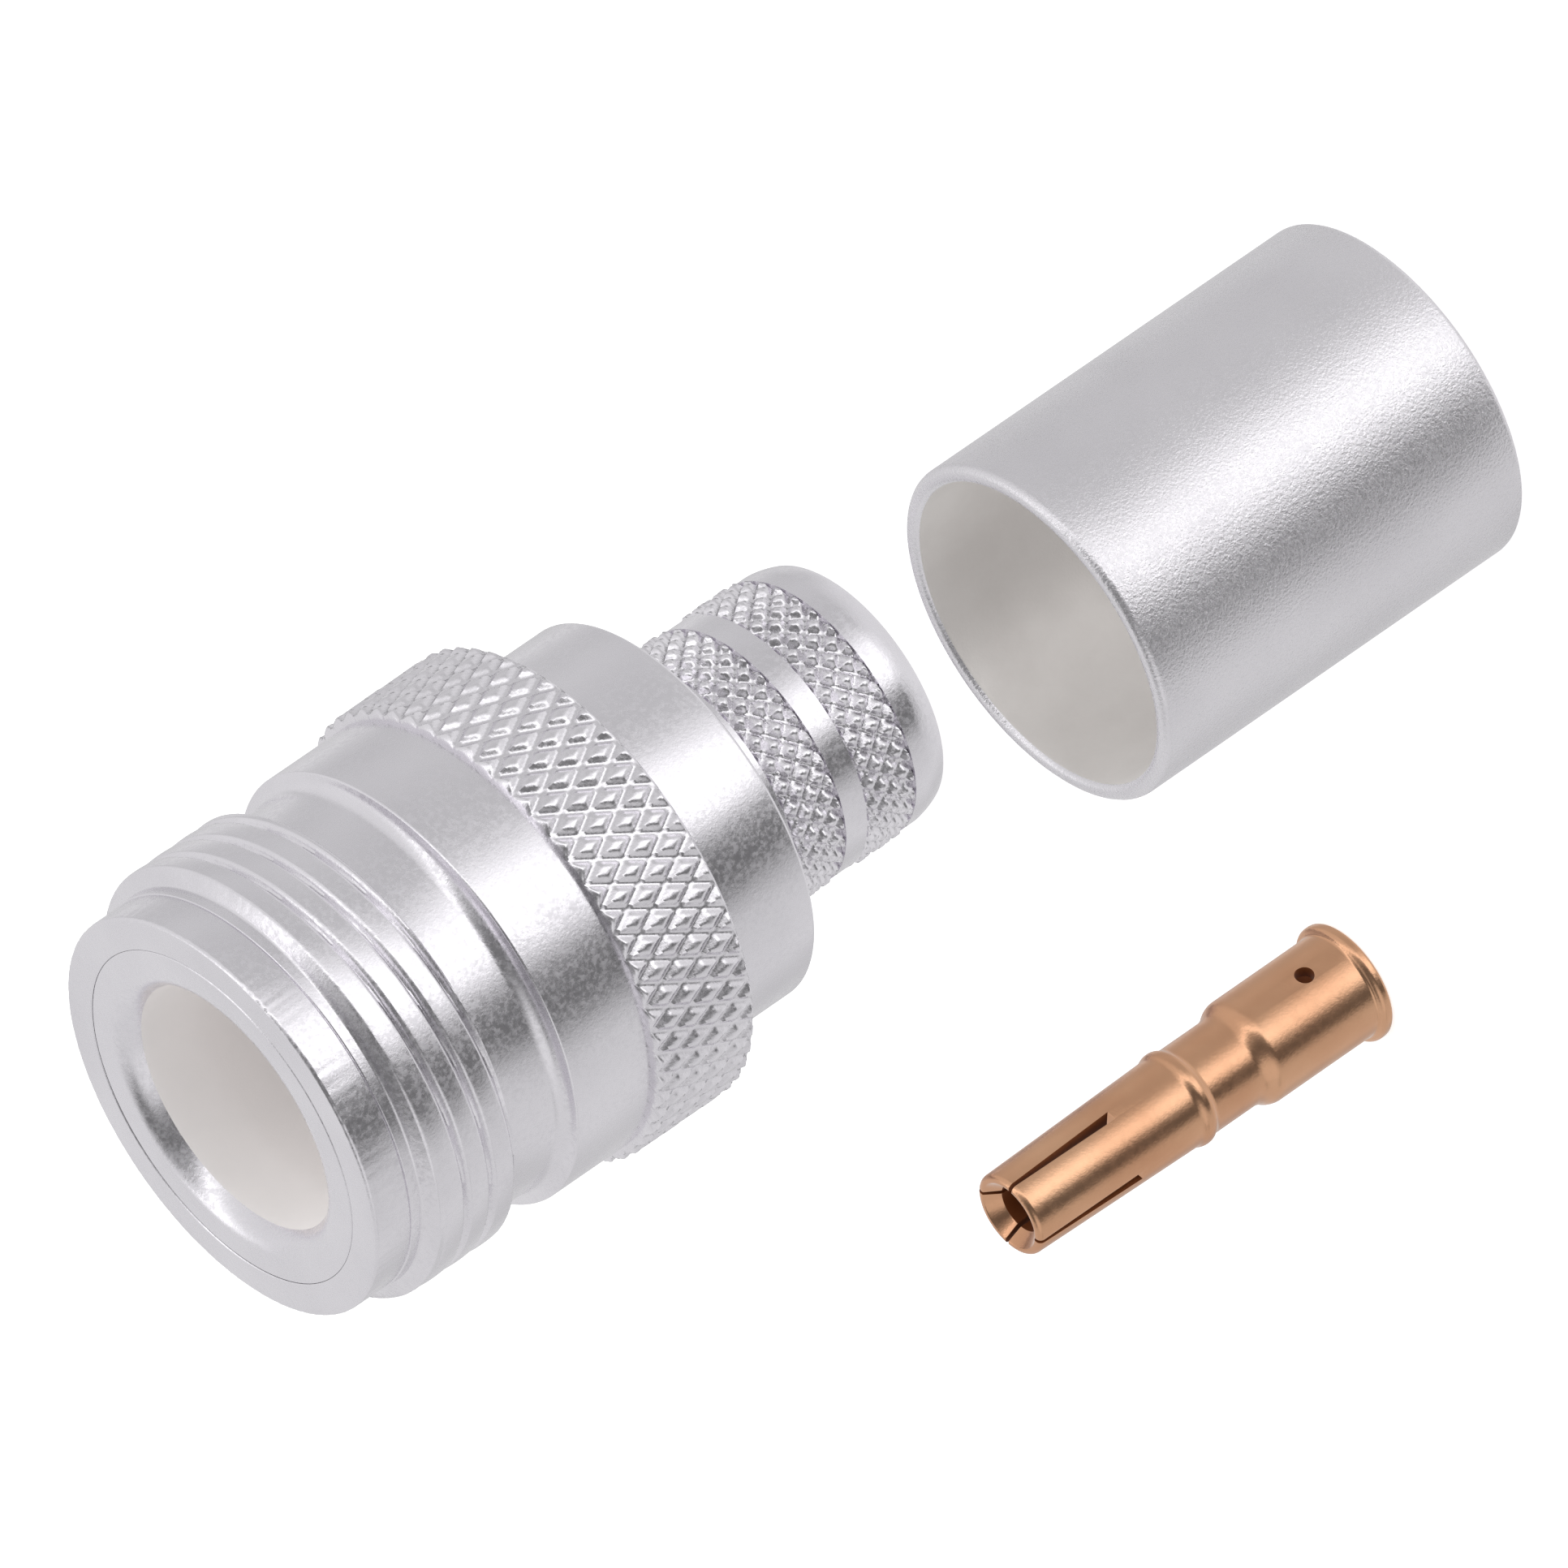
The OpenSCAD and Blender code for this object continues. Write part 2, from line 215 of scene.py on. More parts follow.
def thread(bm, low, high):
    """Cuts the helical groove into the plain cylinder between two heights."""
    moved = 0
    for v in bm.verts:
        r, z = math.hypot(v.co.x, v.co.y) / MM, v.co.z / MM
        if abs(r - THREAD_R) < 0.002 and low - 1e-4 < z < high + 1e-4:
            turned = (math.atan2(v.co.y, v.co.x) + math.pi / 2) / (2 * math.pi)
            phase = (z - GROOVE_AT) / THREAD_PITCH - turned
            away = abs((phase + 0.5) % 1.0 - 0.5) * THREAD_PITCH
            run_out = 1 - smooth_step((z - RUN_OUT_AT) / RUN_OUT_LEN)
            groove = (1 - smooth_step(away / GROOVE_HALF)) * run_out
            crown = (1 - 2 * away / THREAD_PITCH) ** 2
            end = max(0.0, 1 - min(z - low, high - z) / END_LEN)
            lip = max(0.0, 1 - abs(away - GROOVE_HALF) / LIP_WIDTH) + end
            nick = NICK * lip * noise.noise(v.co * NICKS_PER_M)
            new_r = THREAD_R - GROOVE_DEPTH * groove - CROWN * crown - END_DEPTH * end * end + nick
            v.co.x *= new_r / r
            v.co.y *= new_r / r
            moved += 1
    print("thread vertices moved:", moved)


# %% [markdown]
# ## The threaded shell
# Nose, thread, neck, plain band and knurled ring are one turning. The nose has a small rounded front edge
# with fine dents, and behind it a fine turned step that shows as a bright line.

# %% Turn the shell
RING_LOW = Z_SHELL + 0.12
RING_ROWS, THREAD_ROWS = 55, 64
STEP_AT, STEP_HALF = 25.46, 0.03
DENTED_EDGE, DENT_SHARE, DENTS_PER_M = 0.14, 0.0022, 6000
shell = profile([
    (SEAM_R, Z_SHELL, 0.05),
    (BAND_R - 0.02, Z_SHELL, 0.04),
    (RING_R, RING_LOW),
    (RING_R, Z_BAND),
    (BAND_R, Z_BAND),
    (BAND_R, Z_NECK - 0.03, 0.06),
    (NECK_R, Z_NECK + 0.12, 0.42),
    (NECK_R, Z_THREAD - 0.08, 0.08),
    (THREAD_R, THREAD_LOW),
    (THREAD_R, THREAD_HIGH),
    (NOSE_R + 0.03, Z_NOSE + 0.06, 0.08),
    (NOSE_R + 0.03, STEP_AT - STEP_HALF, 0.02),
    (NOSE_R - 0.04, STEP_AT),
    (NOSE_R, STEP_AT + STEP_HALF, 0.02),
    (NOSE_R, Z_FRONT, 0.13),
    (SEAM_R + 0.05, Z_FRONT, 0.03),
    (SEAM_R, Z_FRONT - 0.028),
])
add_rows(shell, RING_R, RING_LOW, Z_BAND, RING_ROWS)
add_rows(shell, THREAD_R, THREAD_LOW, THREAD_HIGH, THREAD_ROWS)
turn(shell, RING_DIAMONDS * STEPS_PER_DIAMOND)
knurl(shell, RING_R, RING_DEPTH, RING_LOW, Z_BAND, RING_DIAMONDS, pitch=1.63, chamfer=0.12, tip=0.32,
      root=0.16)
thread(shell, THREAD_LOW, THREAD_HIGH)
for v in shell.verts:
    if v.co.z > (Z_FRONT - DENTED_EDGE) * MM and v.co.xy.length > (NOSE_R - DENTED_EDGE) * MM:
        v.co.xy *= 1 + DENT_SHARE * noise.noise(v.co * DENTS_PER_M)
shell_piece = make_piece("shell_with_thread", shell, "threaded_shell", sharp=60)

# %% [markdown]
# ## The crimp body
# The body runs through the shell as a sleeve, which shows on the face as a fine ring. Behind the shell come a
# plain band and the collar that the cable's braid goes over, with two finely knurled zones.

# %% Turn the crimp body
COLLAR_ROWS = 27
FRONT_ZONE, REAR_ZONE = [(low - 0.05, high + 0.05) for low, high in COLLAR_KNURLS]


def proud_zone(low, high):
    """Corners of a knurled zone, which stands a little proud of the collar."""
    return [(COLLAR_R, low), (COLLAR_KNURL_R, low), (COLLAR_KNURL_R, high), (COLLAR_R, high)]


body = profile([
    (CABLE_R, 0.0, 0.12),
    (COLLAR_END_R, 0.0, 0.1),
    (COLLAR_END_R + 0.22, 0.16, 0.12),
    (COLLAR_R - 0.08, 0.55, 0.2),
    (COLLAR_R, 0.95, 0.1),
    *proud_zone(*REAR_ZONE),
    *proud_zone(*FRONT_ZONE),
    (COLLAR_R, Z_COLLAR, 0.08),
    (REAR_R, Z_COLLAR, 0.14),
    (REAR_R, Z_SHELL - 0.06, 0.05),
    (SEAM_R - 0.05, Z_SHELL - 0.06),
    (SEAM_R - 0.014, Z_FRONT - 0.034),
    (SEAM_R - 0.06, Z_FRONT - 0.01, 0.02),
    (MOUTH_R + 0.08, Z_FRONT - 0.01, 0.34),
    (THROAT_R, Z_FRONT - 0.62, 0.32),
    (BORE_R, Z_FRONT - 2.6, 0.3),
    (BORE_R, Z_SEAT, 0.1),
    (WEB_R, Z_SEAT, 0.12),
    (WEB_R, Z_WEB, 0.1),
    (SEAT_R, Z_WEB),
    (SEAT_R, Z_INSULATOR, 0.06),
    (CABLE_R, Z_INSULATOR - 0.02),
])
for low, high in (FRONT_ZONE, REAR_ZONE):
    add_rows(body, COLLAR_KNURL_R, low, high, COLLAR_ROWS)
turn(body, COLLAR_DIAMONDS * STEPS_PER_DIAMOND)
for low, high in (FRONT_ZONE, REAR_ZONE):
    knurl(body, COLLAR_KNURL_R, COLLAR_KNURL_DEPTH, low, high, COLLAR_DIAMONDS, pitch=0.86, chamfer=0.1,
          tip=0.12, root=0.1)
body_piece = make_piece("crimp_body_turning", body, "crimp_body", sharp=60)

# %% [markdown]
# ## The insulator
# A plain white turning deep in the bore. The contact slides in from the rear, and a groove in the passage
# takes its bead.

# %% Turn the insulator
PASSAGE_R, BEAD_GROOVE_R, ENTRY_R = 1.65, 1.75, 1.92
BEAD_GROOVE = (15.35, 15.6)
ENTRY_TOP = 13.25
SLOPE = 0.05
insulator = profile([
    (SEAT_R - 0.01, Z_INSULATOR, 0.15),
    (SEAT_R - 0.01, Z_WEB - 0.01, 0.1),
    (PASSAGE_R, Z_WEB - 0.01, 0.12),
    (PASSAGE_R, BEAD_GROOVE[1] + SLOPE),
    (BEAD_GROOVE_R, BEAD_GROOVE[1]),
    (BEAD_GROOVE_R, BEAD_GROOVE[0]),
    (PASSAGE_R, BEAD_GROOVE[0] - SLOPE),
    (PASSAGE_R, ENTRY_TOP + SLOPE),
    (ENTRY_R, ENTRY_TOP),
    (ENTRY_R, Z_INSULATOR, 0.1),
])
turn(insulator, ROUND_STEPS)
insulator_piece = make_piece("white_insulator", insulator, "insulator")

# %% [markdown]
# ## The crimp ferrule
# A length of drawn tube. Its cut ends are tumbled, so the rims are fully rounded and shine.

# %% Turn the ferrule
FERRULE_ROWS = 11
FERRULE_INNER = FERRULE_R - FERRULE_WALL
ferrule = profile([
    (FERRULE_INNER, 0.0, 0.16),
    (FERRULE_R, 0.0, 0.2),
    (FERRULE_R, FERRULE_LEN, 0.24),
    (FERRULE_INNER, FERRULE_LEN, 0.2),
])
for wall in (FERRULE_R, FERRULE_INNER):
    add_rows(ferrule, wall, 0, FERRULE_LEN, FERRULE_ROWS)
turn(ferrule, 2 * ROUND_STEPS)
ferrule_piece = make_piece("ferrule_tube", ferrule, "crimp_ferrule", FERRULE_AT)

# %% [markdown]
# ## The centre contact
# The wire end has a flange and a sight hole, the other end a socket of four spring fingers. The turning is
# spun first. The slots and the sight hole are then cut with a boolean, because a saw cut across a round
# bar has no profile of its own, and a small bevel breaks the edges that the saw left. The fingers are bent
# in to grip the pin, so each slot is wide at its foot and nearly closed at the tip.

# %% Turn the contact
WIRE_R, WIRE_DEPTH = 1.425, 4.3
FLANGE_R, BARREL_R, WAIST_R, BEAD_R = 2.1, 1.87, 1.57, 1.7
SOCKET_R, SOCKET_LOW = 0.85, 8.0
contact = profile([
    (0.0, WIRE_DEPTH),
    (WIRE_R, WIRE_DEPTH + 0.2),
    (WIRE_R, 0.0, 0.08),
    (FLANGE_R, 0.0, 0.12),
    (FLANGE_R, 0.38, 0.14),
    (BARREL_R, 0.44, 0.08),
    (BARREL_R, 4.6, 0.2),
    (WAIST_R, 5.0, 0.22),
    (WAIST_R, 7.02, 0.1),
    (BEAD_R, 7.2, 0.1),
    (BEAD_R, 7.45, 0.1),
    (1.6, 7.64, 0.1),
    (1.46, CONTACT_LEN, 0.18),
    (1.2, CONTACT_LEN, 0.04),
    (SOCKET_R, CONTACT_LEN - 0.5, 0.06),
    (SOCKET_R, SOCKET_LOW, 0.05),
    (0.0, SOCKET_LOW - 0.2),
])
turn(contact, ROUND_STEPS)
print("points of the turned contact:", len(contact.verts))

# %% Cut the slots and the sight hole
SLOT_LEN, SLOT_FOOT, SLOT_TIP = 4.3, 0.36, 0.08
SIGHT_R, SIGHT_Z = 0.325, 2.0
EDGE_BREAK = 0.02


def helper_object(name, bm):
    mesh = bpy.data.meshes.new(name)
    bm.to_mesh(mesh)
    bm.free()
    made = bpy.data.objects.new(name, mesh)
    scene.collection.objects.link(made)
    return made


def rotate(bm, verts, degrees, axis):
    turned = Matrix.Rotation(math.radians(degrees), 3, axis)
    bmesh.ops.rotate(bm, verts=verts, cent=(0, 0, 0), matrix=turned)


saw = bmesh.new()
for quarter in (0, 90):
    blade = bmesh.ops.create_cube(saw, size=1)["verts"]
    for v in blade:
        foot = v.co.z < 0
        v.co.x *= 6 * MM
        v.co.y *= (SLOT_FOOT if foot else SLOT_TIP) * MM
        v.co.z = (CONTACT_LEN - SLOT_LEN if foot else CONTACT_LEN + 1) * MM
    rotate(saw, blade, quarter, "Z")
drill = bmesh.ops.create_cone(saw, cap_ends=True, segments=32, radius1=SIGHT_R * MM, radius2=SIGHT_R * MM,
                              depth=3 * MM)["verts"]
rotate(saw, drill, 90, "Y")
bmesh.ops.translate(saw, verts=drill, vec=(1.55 * MM, 0, SIGHT_Z * MM))

blank = helper_object("contact_blank", contact)
saw_object = helper_object("contact_saw", saw)
cut = blank.modifiers.new("slots", "BOOLEAN")
cut.operation, cut.solver, cut.object = "DIFFERENCE", "EXACT", saw_object
cut.use_self = True
edges = blank.modifiers.new("broken edges", "BEVEL")
edges.width, edges.segments = EDGE_BREAK * MM, 2
edges.limit_method, edges.angle_limit = "ANGLE", math.radians(50)
sawn = bmesh.new()
sawn.from_object(blank, bpy.context.evaluated_depsgraph_get())
bmesh.ops.remove_doubles(sawn, verts=sawn.verts[:], dist=1e-7)
rotate(sawn, sawn.verts[:], CONTACT_TURN, "Z")
for helper in (blank, saw_object):
    bpy.data.objects.remove(helper)
contact_piece = make_piece("slotted_contact", sawn, "centre_contact", CONTACT_AT)

# %% [markdown]
# ## The metal
# Plated metal is a mirror that is not quite flat. Three effects do the work, and more than one metal uses
# them, so each is a node group: fine grain in the plating, the faint rings that a lathe leaves, and soft
# stains of handling that change the roughness. All read Object coordinates, so they stay on the piece.

# %% Node helpers
def feed(tree, node, inputs):
    """Links each named input to a socket, or sets it to a plain value."""
    for name, value in inputs.items():
        if isinstance(value, bpy.types.NodeSocket):
            tree.links.new(value, node.inputs[name])
        else:
            node.inputs[name].default_value = value


def add_node(tree, kind, inputs=None, **settings):
    node = tree.nodes.new(kind)
    for name, value in settings.items():
        setattr(node, name, value)
    feed(tree, node, inputs or {})
    return node


def map_range(tree, value, source=(0.0, 1.0), target=(0.0, 1.0), **settings):
    """Moves a value from one range to another, held at both ends."""
    node = add_node(tree, "ShaderNodeMapRange", {
        "From Min": source[0], "From Max": source[1], "To Min": target[0], "To Max": target[1],
        "Value": value}, **settings)
    return node.outputs["Result"]


def mix_colours(tree, mask, first, second):
    node = add_node(tree, "ShaderNodeMix", data_type="RGBA")
    feed(tree, node, {"Factor": mask, "A": first, "B": second})
    return node.outputs["Result"]


def new_group(name, inputs, output):
    """A shader node group with (name, default) inputs and one output, all plain numbers."""
    tree = bpy.data.node_groups.new(name, "ShaderNodeTree")
    for socket, default in inputs:
        made = tree.interface.new_socket(name=socket, in_out="INPUT", socket_type="NodeSocketFloat")
        made.default_value = default
    tree.interface.new_socket(name=output, in_out="OUTPUT", socket_type="NodeSocketFloat")
    coords = add_node(tree, "ShaderNodeTexCoord").outputs["Object"]
    return tree, add_node(tree, "NodeGroupInput").outputs, add_node(tree, "NodeGroupOutput"), coords


def feed_shader(material, inputs):
    """Links or sets inputs of the material's Principled shader."""
    feed(material.node_tree, material.node_tree.nodes["Principled BSDF"], inputs)


def new_material(name, inputs):
    material = bpy.data.materials.new(name)
    material.use_nodes = True
    feed_shader(material, inputs)
    return material


# %% Group: grain of the plating
grain_tree, given, result, coords = new_group("plating grain", [("Scale", 9000.0), ("Detail", 3.0)], "Grain")
grit = add_node(grain_tree, "ShaderNodeTexNoise", {
    "Vector": coords, "Scale": given["Scale"], "Detail": given["Detail"], "Roughness": 0.65})
feed(grain_tree, result, {"Grain": grit.outputs["Fac"]})
print("effect:", grain_tree.name)

# %% Group: rings left by the lathe
rings_tree, given, result, coords = new_group("turning rings", [("Scale", 12000.0)], "Rings")
along = add_node(rings_tree, "ShaderNodeVectorMath", {0: coords, 1: (0.02, 0.02, 1.0)}, operation="MULTIPLY")
furrows = add_node(rings_tree, "ShaderNodeTexNoise", {
    "Vector": along.outputs[0], "Scale": given["Scale"], "Detail": 2.0})
feed(rings_tree, result, {"Rings": furrows.outputs["Fac"]})
print("effect:", rings_tree.name)

# %% Group: handling marks
marks_tree, given, result, coords = new_group("handling marks", [("Scale", 260.0)], "Mask")
stains = add_node(marks_tree, "ShaderNodeTexNoise", {
    "Vector": coords, "Scale": given["Scale"], "Detail": 5.0})
feed(marks_tree, result, {"Mask": map_range(marks_tree, stains.outputs["Fac"], source=(0.35, 0.68))})
print("effect:", marks_tree.name)

# %% [markdown]
# ## One recipe, six materials
# Silver on the turned pieces is satin and smooth, on the ferrule it is frosted with a fine grain, and the
# contact is bright with a warm plating. Each has a second material for its inside: a duller one in the
# ferrule, a pale one with a faint painted glow in the bore, and painted shade, a dark dull copper, in the
# contact. The recipe mixes two close colours by the handling marks, lets the same marks and some fine specks
# raise the roughness a little, and adds grain and rings as a very low bump.

# %% Metal recipe
def plated(name, light, dark, rough, rough_spread, grain_scale, grain_height, speck_scale, speck_spread,
           ring_height=0.0, metallic=1.0):
    """A plated metal. Heights are in millimetres, and each scale counts waves to the metre."""
    material = new_material(name, {"Metallic": metallic})
    tree = material.node_tree

    def effect(source, output, **values):
        return add_node(tree, "ShaderNodeGroup", values, node_tree=source).outputs[output]

    def bump(height, distance, **under):
        node = add_node(tree, "ShaderNodeBump", {"Height": height, "Distance": distance * MM, **under})
        return node.outputs["Normal"]

    marks = effect(marks_tree, "Mask")
    specks = effect(grain_tree, "Grain", Scale=speck_scale, Detail=2.0)
    roughness = add_node(tree, "ShaderNodeMath", {
        0: map_range(tree, marks, target=(rough, rough + rough_spread)),
        1: map_range(tree, specks, source=(0.38, 0.66), target=(0.0, speck_spread))}, operation="ADD")
    rings = bump(effect(rings_tree, "Rings"), ring_height)
    grain = bump(effect(grain_tree, "Grain", Scale=grain_scale), grain_height, Normal=rings)
    feed_shader(material, {
        "Base Color": mix_colours(tree, marks, (*light, 1), (*dark, 1)),
        "Roughness": roughness.outputs[0],
        "Normal": grain})
    return material


silver = plated(
    "satin silver plate", (0.855, 0.835, 0.875), (0.80, 0.78, 0.82), rough=0.15, rough_spread=0.04,
    grain_scale=9000, grain_height=0.006, speck_scale=5500, speck_spread=0.2, ring_height=0.0006)
ferrule_silver = plated(
    "frosted silver plate", (0.84, 0.82, 0.855), (0.785, 0.765, 0.80), rough=0.2, rough_spread=0.03,
    grain_scale=10000, grain_height=0.024, speck_scale=7000, speck_spread=0.12)
matt_silver = plated(
    "matt silver inside", (0.80, 0.77, 0.75), (0.72, 0.69, 0.67), rough=0.5, rough_spread=0.1,
    grain_scale=12000, grain_height=0.008, speck_scale=6000, speck_spread=0.05, metallic=0.4)
copper = plated(
    "warm contact plate", (0.77, 0.45, 0.275), (0.66, 0.35, 0.205), rough=0.14, rough_spread=0.05,
    grain_scale=8000, grain_height=0.006, speck_scale=4000, speck_spread=0.08, ring_height=0.0008)
# The pale bore passes light from wall to wall, and a faint painted glow stands for it
bore_silver = plated(
    "matt silver of the bore", (0.875, 0.84, 0.825), (0.825, 0.795, 0.78), rough=0.5, rough_spread=0.1,
    grain_scale=12000, grain_height=0.004, speck_scale=6000, speck_spread=0.05, metallic=0.0)
feed_shader(bore_silver, {"Emission Color": (0.97, 0.955, 0.98, 1), "Emission Strength": 0.066})
# The slots and bores of the contact are too narrow to mirror the studio; their shade is painted in as a dark,
# dull copper
painted_shade_copper = plated(
    "contact plate with painted shade", (0.22, 0.068, 0.022), (0.15, 0.045, 0.014), rough=0.5, rough_spread=0.1,
    grain_scale=9000, grain_height=0.002, speck_scale=4000, speck_spread=0.05, metallic=0.0)
feed_shader(painted_shade_copper, {"Specular IOR Level": 0.06})
print("metals:", silver.name, ferrule_silver.name, copper.name)


# %% Dress the metal pieces, outside and inside
def line_inside(piece, inside, belongs):
    """Gives the inside faces a second material, such as painted shade or a painted glow."""
    piece.data.materials.append(inside)
    chosen = [face for face in piece.data.polygons if belongs(face.center / MM, face.normal)]
    for face in chosen:
        face.material_index = 1
    print(piece.name, "faces of the inside:", len(chosen))


def in_bore(centre, normal):
    return centre.xy.length < THROAT_R + 0.03 and Z_SEAT - 0.05 < centre.z < Z_FRONT - 0.4


def in_ferrule(centre, normal):
    reach = (centre.xy - Vector(FERRULE_AT)).length
    return reach < FERRULE_INNER + 0.01 and 0.1 < centre.z < FERRULE_LEN - 0.1


def in_contact(centre, normal):
    """The socket's bore, the walls of the slots, the wire's bore and the sight hole, which get painted shade.
    """
    back = Matrix.Rotation(math.radians(-CONTACT_TURN), 2)
    place = back @ (centre.xy - Vector(CONTACT_AT))
    facing = back @ normal.xy
    upright = abs(normal.z) < 0.3
    socket = centre.z > SOCKET_LOW - 0.1 and place.length < 1.42 and upright
    wire = centre.z < WIRE_DEPTH + 0.3 and place.length < WIRE_R + 0.005 and upright
    hole = math.hypot(place.y, centre.z - SIGHT_Z) < SIGHT_R + 0.005 and place.x > 1.4 and abs(facing.x) < 0.3
    return socket or wire or hole


for piece, metal in ((shell_piece, silver), (body_piece, silver), (ferrule_piece, ferrule_silver),
                     (contact_piece, copper)):
    piece.data.materials.append(metal)
line_inside(body_piece, bore_silver, in_bore)
line_inside(ferrule_piece, matt_silver, in_ferrule)
line_inside(contact_piece, painted_shade_copper, in_contact)
# Standing, these two would be mirrored in the connector where the photographed ones are not
ferrule_piece.visible_glossy = False
contact_piece.visible_glossy = False

# %% [markdown]
# ## The insulator's plastic
# A white fluoropolymer is waxy: no metal, a dull skin, and a cloudiness too faint to name. It sits deep in
# the bore, so two close whites mixed by the handling marks are enough.

# %% White plastic
plastic = new_material("waxy white plastic", {"Roughness": 0.45})
tree = plastic.node_tree
cloud = add_node(tree, "ShaderNodeGroup", {"Scale": 600}, node_tree=marks_tree).outputs["Mask"]
whites = mix_colours(tree, cloud, (0.87, 0.87, 0.84, 1), (0.80, 0.80, 0.76, 1))
feed_shader(plastic, {"Base Color": whites})
insulator_piece.data.materials.append(plastic)
print("plastic:", plastic.name)

# %% [markdown]
# ## The floor
# A plain pale table. It is left out of mirror reflections, because the camera looks down on upright walls,
# which would otherwise reflect nothing but table and lose the studio's bands.

# %% Lay the floor
FLOOR_R = 1.6
floor_mesh = bmesh.new()
bmesh.ops.create_circle(floor_mesh, cap_ends=True, segments=96, radius=FLOOR_R)
floor_data = bpy.data.meshes.new("pale_floor")
floor_mesh.to_mesh(floor_data)
floor_mesh.free()
floor = bpy.data.objects.new("pale_floor", floor_data)
scene.collection.objects.link(floor)
floor.visible_glossy = False
floor.visible_shadow = False
paper = new_material("pale paper", {
    "Base Color": (0.9, 0.9, 0.9, 1), "Roughness": 0.9, "Specular IOR Level": 0.0,
    "Emission Color": (1, 1, 1, 1), "Emission Strength": 0.6})
floor_data.materials.append(paper)
print("floor radius in m:", FLOOR_R)

# %% [markdown]
# ## The studio
# Metal shows its surroundings, so the light is drawn as surroundings: pale walls all round, one long bright
# band beside the camera and a dark flag next to it. On an upright cylinder the band makes the white stripe
# and the flag the dark one. The tone is given against the heading, counted from the camera's side, and the
# bands lean as they rise. Above the horizon the tone is given against the angle from an aim on the left
# instead, so that a strip of light passes overhead and the upper faces get their light and dark halves.
# Three even patches keep calm what is calm in the photo.

# %% Tones of the studio by heading
SILVER_SHEEN = 0.83
STUDIO = [(-180, 190), (-155, 198), (-145, 212), (-131, 190), (-116, 187), (-95, 195), (-65, 186),
          (-50, 184), (-42, 187), (-35, 198), (-28, 220), (-21, 248), (-14, 268), (-6, 285), (4, 285),
          (11, 268), (18, 218), (25, 150), (32, 116), (39, 104), (46, 100), (54, 122), (61, 170), (69, 193),
          (77, 197), (90, 200), (118, 206), (131, 192), (145, 188), (160, 200), (180, 190)]


def grey(tone):
    """The linear grey that silver turns into this tone, from 0 to 255, in the picture."""
    c = tone / 255
    linear = c / 12.92 if c <= 0.04045 else ((c + 0.055) / 1.055) ** 2.4
    return (*[linear / SILVER_SHEEN] * 3, 1)


world = bpy.data.worlds.new("studio")
scene.world = world
world.use_nodes = True
sky = world.node_tree
direction = add_node(sky, "ShaderNodeTexCoord").outputs["Generated"]
split = add_node(sky, "ShaderNodeSeparateXYZ", {0: direction}).outputs


def calc(operation, first, second, **settings):
    return add_node(sky, "ShaderNodeMath", {0: first, 1: second}, operation=operation, **settings).outputs[0]


def tone_ramp(value, tones, low, high):
    """A colour ramp through pairs of place and tone, read at a value from low to high."""
    ramp = add_node(sky, "ShaderNodeValToRGB")
    stops = ramp.color_ramp.elements
    while len(stops) > 1:
        stops.remove(stops[-1])
    for number, (place, tone) in enumerate(tones):
        position = (place - low) / (high - low)
        stop = stops[0] if number == 0 else stops.new(position)
        stop.position = position
        stop.color = grey(tone)
    feed(sky, ramp, {"Fac": value})
    return ramp.outputs["Color"]


heading = calc("ARCTAN2", calc("MULTIPLY", split["X"], -1), calc("MULTIPLY", split["Y"], -1))
lean = calc("ADD", calc("ADD", split["Z"], 0.25, use_clamp=True), heading)
bands = tone_ramp(map_range(sky, lean, source=(-math.pi, math.pi)), STUDIO, -180, 180)
print("studio tones:", len(STUDIO))

# %% The strip light, the even patches and the light that matt surfaces get
STRIP = [(-1, 205), (-0.6, 212), (-0.4, 212), (-0.2, 220), (-0.12, 245), (-0.06, 285), (0.04, 292),
         (0.1, 262), (0.15, 203), (0.21, 178), (0.3, 163), (0.4, 142), (0.5, 108), (0.65, 106), (0.8, 125),
         (0.88, 178), (0.94, 208), (1, 215)]
STRIP_AIM = (-0.85, -0.325, 0.416)
HORIZON = 0.12
MATT_LIGHT = 1.25


def mask_between(value, low, high):
    """0 up to one value and 1 past the other, with soft ends."""
    return map_range(sky, value, source=(low, high), interpolation_type="SMOOTHSTEP")


def towards(aim):
    """Cosine of the angle between the direction and an aim."""
    dot = add_node(sky, "ShaderNodeVectorMath", {0: direction, 1: Vector(aim).normalized()},
                   operation="DOT_PRODUCT")
    return dot.outputs["Value"]


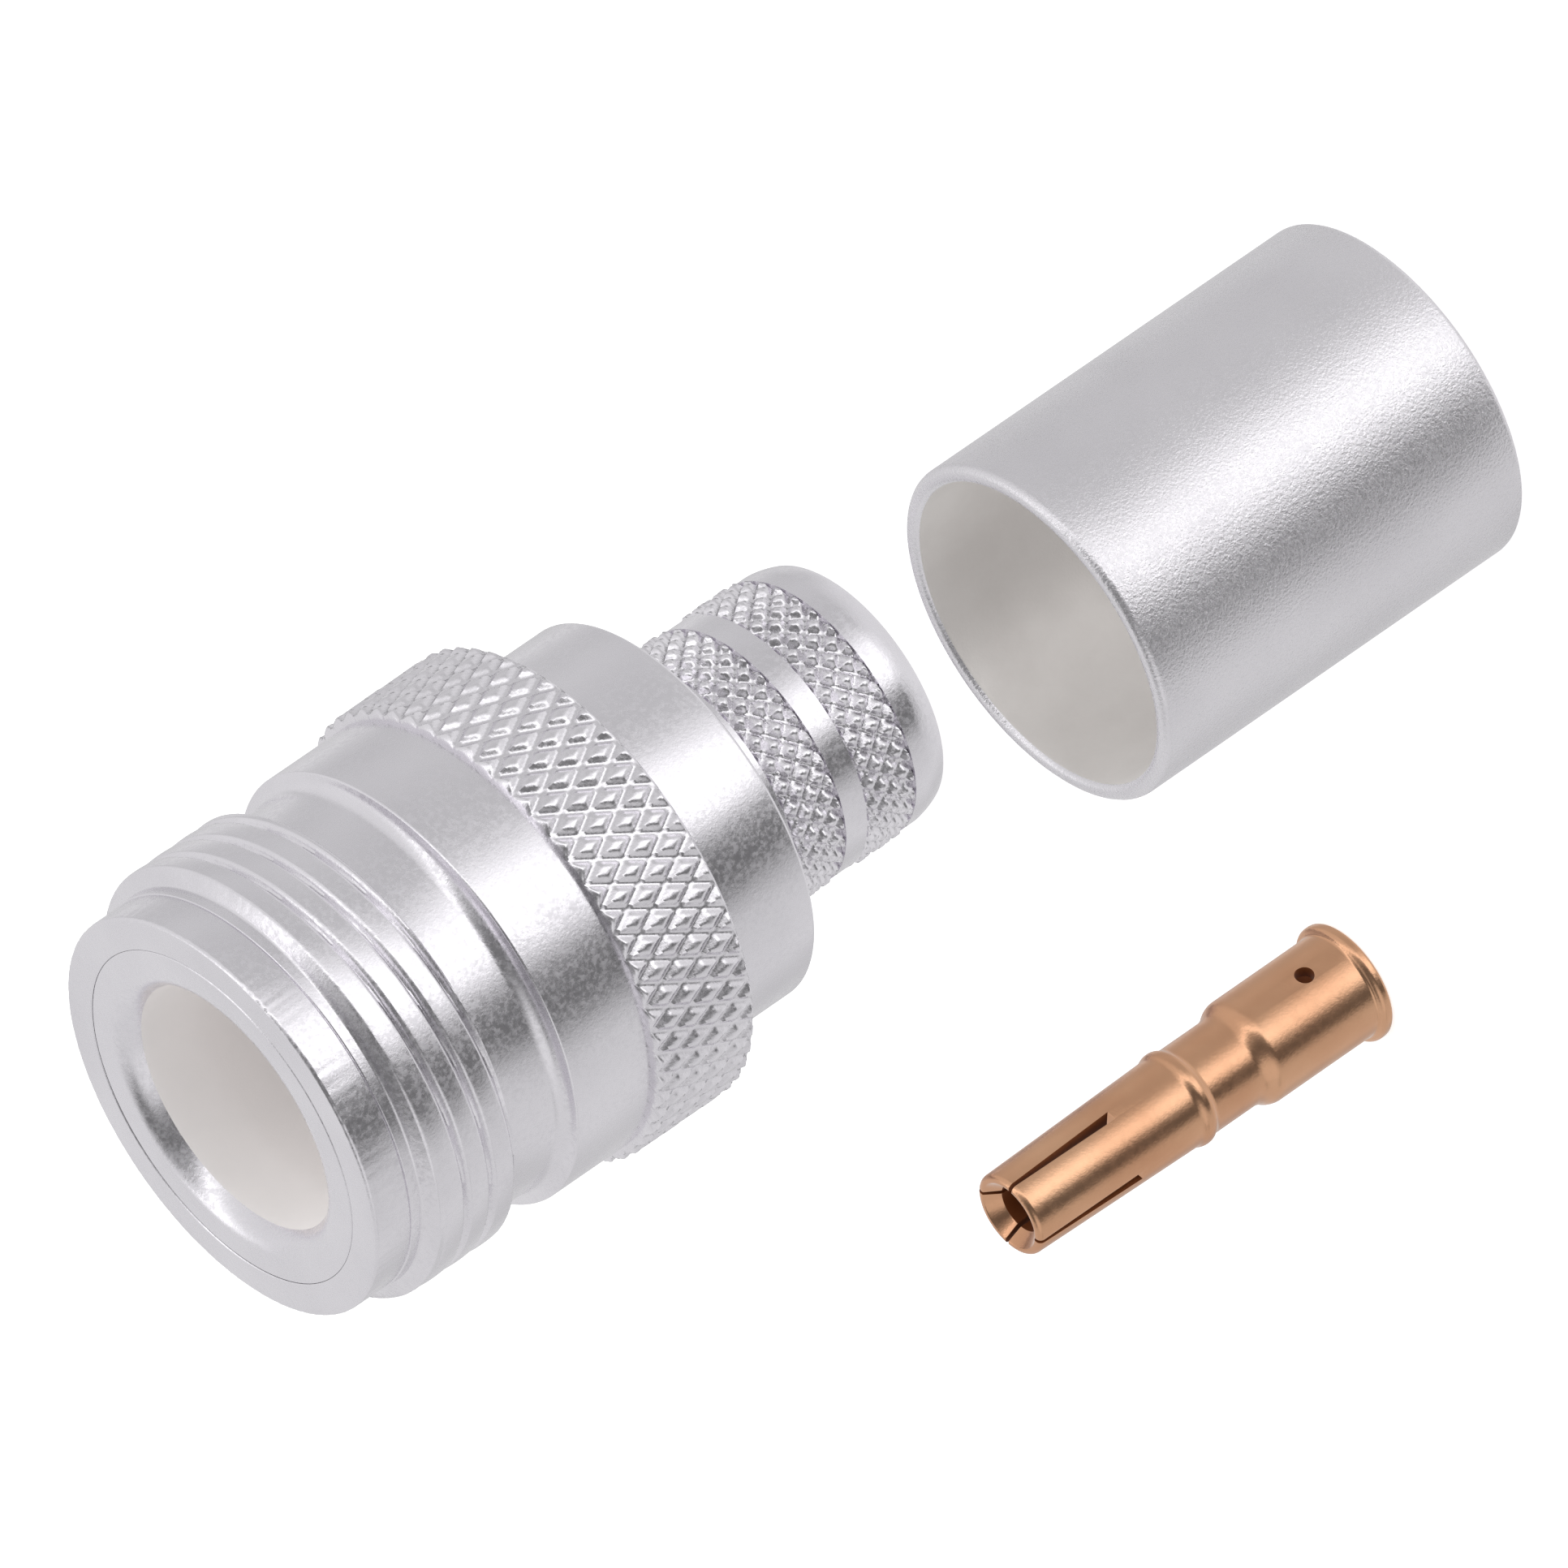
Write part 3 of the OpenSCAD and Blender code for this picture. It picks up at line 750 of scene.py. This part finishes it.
def degrees_off(full, edge):
    """Cosines for a patch that is whole up to one angle and gone past the other."""
    return math.cos(math.radians(edge)), math.cos(math.radians(full))


strip = tone_ramp(map_range(sky, towards(STRIP_AIM), source=(-1.0, 1.0)), STRIP, -1, 1)
sky_colour = mix_colours(sky, mask_between(split["Z"], -HORIZON, HORIZON), bands, strip)
for aim, limits, tone in (((-0.7, 0.56, 0.44), degrees_off(30, 45), 203),
                          ((0, 0, -1), (0.62, 0.85), 212),
                          ((0, 0.95, 0.3), degrees_off(30, 46), 207)):
    sky_colour = mix_colours(sky, mask_between(towards(aim), *limits), sky_colour, grey(tone))
matt_ray = add_node(sky, "ShaderNodeLightPath").outputs["Is Diffuse Ray"]
feed(sky, sky.nodes["Background"], {
    "Color": sky_colour, "Strength": map_range(sky, matt_ray, target=(1.0, MATT_LIGHT))})
print("strip tones:", len(STRIP))

# %% [markdown]
# ## The camera
# The camera stands well away with a long lens, so that upright pieces don't lean apart, and it is turned so
# far that they lie across the picture. Its place and turn were worked out from where the ends of the three
# pieces fall in the photograph.

# %% Set the camera
CAMERA_AT = Vector((-1.388, -1382.515, 687.547)) * MM
LOOK_DOWN, ROLL = math.radians(26.309), math.radians(235.458)
FOCAL_PIXELS, PHOTO_WIDTH, SENSOR = 60000, 1932, 36
forward = Vector((0, math.cos(LOOK_DOWN), -math.sin(LOOK_DOWN)))
level = Vector((1, 0, 0))
above = level.cross(forward)
right = math.cos(ROLL) * level + math.sin(ROLL) * above
up = -math.sin(ROLL) * level + math.cos(ROLL) * above
camera_data = bpy.data.cameras.new("camera")
camera_data.sensor_width = SENSOR
camera_data.lens = FOCAL_PIXELS * SENSOR / PHOTO_WIDTH
camera_data.clip_start, camera_data.clip_end = 0.01, 10
camera = bpy.data.objects.new("camera", camera_data)
scene.collection.objects.link(camera)
pose = Matrix((right, up, -forward)).transposed().to_4x4()
pose.translation = CAMERA_AT
camera.matrix_world = pose
scene.camera = camera
scene.view_settings.view_transform = "Standard"
scene.cycles.use_denoising = True
print("camera at mm:", in_mm(CAMERA_AT), "lens", round(camera_data.lens, 1))
